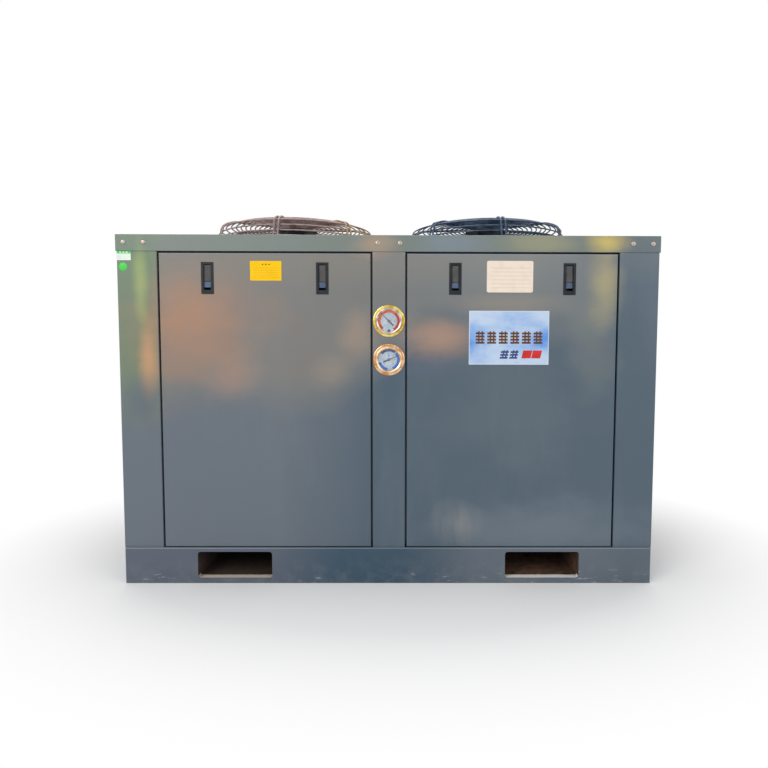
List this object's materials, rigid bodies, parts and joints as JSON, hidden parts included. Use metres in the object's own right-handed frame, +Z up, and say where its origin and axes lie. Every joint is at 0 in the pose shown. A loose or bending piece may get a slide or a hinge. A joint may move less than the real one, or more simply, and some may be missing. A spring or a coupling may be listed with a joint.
{
  "type": "refrigeration condensing unit",
  "caption": "Box-shaped air-cooled condensing unit: steel cabinet with lift-off doors, gauges between them, wire-guarded fans on top and a forkable base.",
  "frame": {"origin": "centre of the four anchor holes, on the plane that the base stands on", "axes": "+X to the right along the front, -Y out of the front with its doors, +Z up"},
  "size_m": [1.5, 0.768, 1.0651],
  "materials": {
    "painted_steel": "semi-gloss powder coat",
    "galvanised_steel": "spangled zinc",
    "guard_wire": "black coated wire",
    "fan_black": "black coating",
    "motor_grey": "matt paint",
    "coil_aluminium": "plain fins",
    "copper": "drawn tube",
    "compressor_black": "gloss black",
    "rubber": "moulded",
    "black_plastic": "moulded",
    "receiver_paint": "satin black",
    "brass": "machined",
    "gold_plate": "polished gold",
    "copper_plate": "polished copper",
    "dial_white": "printed",
    "glass": "clear",
    "pointer_black": "matt",
    "zinc_screw": "bright zinc",
    "seal_foam": "closed-cell foam",
    "box_paint": "light grey"
  },
  "bodies": {
    "cabinet": {"base_front_rail": "painted_steel", "base_rear_rail": "painted_steel", "base_side_rails": "painted_steel", "corner_post_front_left": "painted_steel", "corner_post_front_right": "painted_steel", "corner_post_rear_left": "painted_steel", "corner_post_rear_right": "painted_steel", "centre_mullion": "painted_steel", "roof_panel": "painted_steel", "door_frame_angles": "painted_steel", "base_cross_members": "galvanised_steel", "floor_pan": "galvanised_steel", "condenser_end_plates": "galvanised_steel", "fan_ring_left": "galvanised_steel", "fan_ring_right": "galvanised_steel", "fan_guard_left": "guard_wire", "fan_guard_right": "guard_wire", "fan_motor_left": "motor_grey", "fan_motor_right": "motor_grey", "condenser_fins": "coil_aluminium", "condenser_return_bends": "copper", "condenser_headers": "copper", "discharge_line": "copper", "liquid_lines": "copper", "suction_lines": "copper", "gauge_capillaries": "copper", "compressor": "compressor_black", "compressor_mounts": "rubber", "port_grommets": "rubber", "compressor_terminal_box": "black_plastic", "liquid_receiver": "receiver_paint", "suction_accumulator": "receiver_paint", "filter_drier": "receiver_paint", "sight_glass": "brass", "service_valves": "brass", "gauge_case_high": "gold_plate", "gauge_case_low": "copper_plate", "gauge_dials": "dial_white", "gauge_glasses": "glass", "roof_screws": "zinc_screw", "control_box": "box_paint", "control_box_cover": "box_paint"},
    "fan_rotor_left": {"fan_rotor_left": "fan_black"},
    "fan_rotor_right": {"fan_rotor_right": "fan_black"},
    "door_left": {"door_left": "painted_steel", "door_seal_left": "seal_foam", "latch_housings_left": "black_plastic"},
    "door_right": {"door_right": "painted_steel", "door_seal_right": "seal_foam", "latch_housings_right": "black_plastic"},
    "pointer_high": {"pointer_high": "pointer_black"},
    "pointer_low": {"pointer_low": "pointer_black"},
    "latch_lever_left_1": {"latch_lever_left_1": "black_plastic"},
    "latch_button_left_1": {"latch_button_left_1": "black_plastic"},
    "latch_lever_left_2": {"latch_lever_left_2": "black_plastic"},
    "latch_button_left_2": {"latch_button_left_2": "black_plastic"},
    "latch_lever_right_1": {"latch_lever_right_1": "black_plastic"},
    "latch_button_right_1": {"latch_button_right_1": "black_plastic"},
    "latch_lever_right_2": {"latch_lever_right_2": "black_plastic"},
    "latch_button_right_2": {"latch_button_right_2": "black_plastic"}
  },
  "joints": [
    {"name": "fan_left_spin", "type": "hinge", "parent": "cabinet", "child": "fan_rotor_left", "pos_m": [-0.317, 0, 0.95], "axis": [0, 0, 1], "continuous": true},
    {"name": "fan_right_spin", "type": "hinge", "parent": "cabinet", "child": "fan_rotor_right", "pos_m": [0.317, 0, 0.95], "axis": [0, 0, 1], "continuous": true},
    {"name": "door_left_tilt", "type": "hinge", "parent": "cabinet", "child": "door_left", "pos_m": [-0.3415, -0.3755, 0.1063], "axis": [1, 0, 0], "range_deg": [0, 30]},
    {"name": "door_right_tilt", "type": "hinge", "parent": "cabinet", "child": "door_right", "pos_m": [0.3415, -0.3755, 0.1063], "axis": [1, 0, 0], "range_deg": [0, 30]},
    {"name": "latch_lever_left_1_swing", "type": "hinge", "parent": "door_left", "child": "latch_lever_left_1", "pos_m": [-0.4995, -0.3735, 0.88899], "axis": [-1, 0, 0], "range_deg": [0, 35]},
    {"name": "latch_button_left_1_press", "type": "slide", "parent": "door_left", "child": "latch_button_left_1", "axis": [0, 1, 0], "range_m": [0, 0.003], "stiffness_N_per_m": 400},
    {"name": "latch_lever_left_2_swing", "type": "hinge", "parent": "door_left", "child": "latch_lever_left_2", "pos_m": [-0.1835, -0.3735, 0.88899], "axis": [-1, 0, 0], "range_deg": [0, 35]},
    {"name": "latch_button_left_2_press", "type": "slide", "parent": "door_left", "child": "latch_button_left_2", "axis": [0, 1, 0], "range_m": [0, 0.003], "stiffness_N_per_m": 400},
    {"name": "latch_lever_right_1_swing", "type": "hinge", "parent": "door_right", "child": "latch_lever_right_1", "pos_m": [0.1835, -0.3735, 0.88899], "axis": [-1, 0, 0], "range_deg": [0, 35]},
    {"name": "latch_button_right_1_press", "type": "slide", "parent": "door_right", "child": "latch_button_right_1", "axis": [0, 1, 0], "range_m": [0, 0.003], "stiffness_N_per_m": 400},
    {"name": "latch_lever_right_2_swing", "type": "hinge", "parent": "door_right", "child": "latch_lever_right_2", "pos_m": [0.4995, -0.3735, 0.88899], "axis": [-1, 0, 0], "range_deg": [0, 35]},
    {"name": "latch_button_right_2_press", "type": "slide", "parent": "door_right", "child": "latch_button_right_2", "axis": [0, 1, 0], "range_m": [0, 0.003], "stiffness_N_per_m": 400},
    {"name": "pointer_high_turn", "type": "hinge", "parent": "cabinet", "child": "pointer_high", "pos_m": [0, -0.3775, 0.742], "axis": [0, 1, 0], "range_deg": [-90, 180], "stiffness_Nm_per_rad": 0.002},
    {"name": "pointer_low_turn", "type": "hinge", "parent": "cabinet", "child": "pointer_low", "pos_m": [0, -0.3775, 0.635], "axis": [0, 1, 0], "range_deg": [-202, 68], "stiffness_Nm_per_rad": 0.002}
  ]
}
